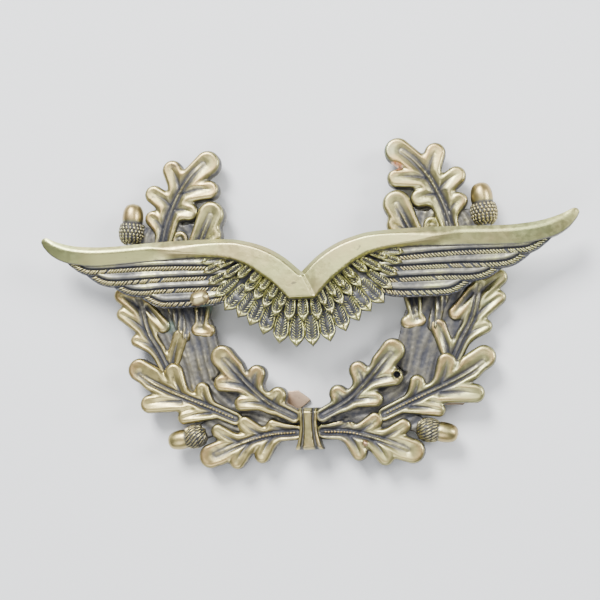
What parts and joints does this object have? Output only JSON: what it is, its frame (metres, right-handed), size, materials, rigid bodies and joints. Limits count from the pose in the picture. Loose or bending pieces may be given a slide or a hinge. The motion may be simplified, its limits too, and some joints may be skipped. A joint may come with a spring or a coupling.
{
  "type": "pilot wings cap badge",
  "caption": "Aged brass pilot's cap badge: spread wings over an open oak-leaf wreath, with bendable fixing legs behind.",
  "frame": {"origin": "middle of the badge's outline, on the plane that its folded legs lie on", "axes": "+X along the wing span, +Y towards the open top of the wreath, +Z out of the front face"},
  "size_m": [0.068, 0.0412, 0.007],
  "materials": {
    "wreath_brass": "aged, dark in the hollows, bright on the raised edges",
    "wing_brass": "aged, smooth and slightly green on the bar",
    "plain_brass": "plain cut strip, dull and slightly pink"
  },
  "bodies": {
    "root": {"left_branch": "wreath_brass", "right_branch": "wreath_brass", "ribbon_band": "wreath_brass", "wings": "wing_brass", "left_rivet": "plain_brass", "right_rivet": "plain_brass", "left_prong_foot": "plain_brass", "right_prong_foot": "plain_brass"},
    "left_inner_leg_body": {"left_inner_leg": "plain_brass"},
    "left_outer_leg_body": {"left_outer_leg": "plain_brass"},
    "right_inner_leg_body": {"right_inner_leg": "plain_brass"},
    "right_outer_leg_body": {"right_outer_leg": "plain_brass"}
  },
  "joints": [
    {"name": "left_inner_bend", "type": "hinge", "parent": "root", "child": "left_inner_leg_body", "pos_m": [-0.0082, -0.01213, 0.0005], "axis": [0, 1, 0], "range_deg": [0, 90]},
    {"name": "left_outer_bend", "type": "hinge", "parent": "root", "child": "left_outer_leg_body", "pos_m": [-0.0104, -0.01213, 0.0005], "axis": [0, -1, 0], "range_deg": [0, 90]},
    {"name": "right_inner_bend", "type": "hinge", "parent": "root", "child": "right_inner_leg_body", "pos_m": [0.0104, -0.01213, 0.0005], "axis": [0, -1, 0], "range_deg": [0, 90]},
    {"name": "right_outer_bend", "type": "hinge", "parent": "root", "child": "right_outer_leg_body", "pos_m": [0.0126, -0.01213, 0.0005], "axis": [0, 1, 0], "range_deg": [0, 90]}
  ]
}
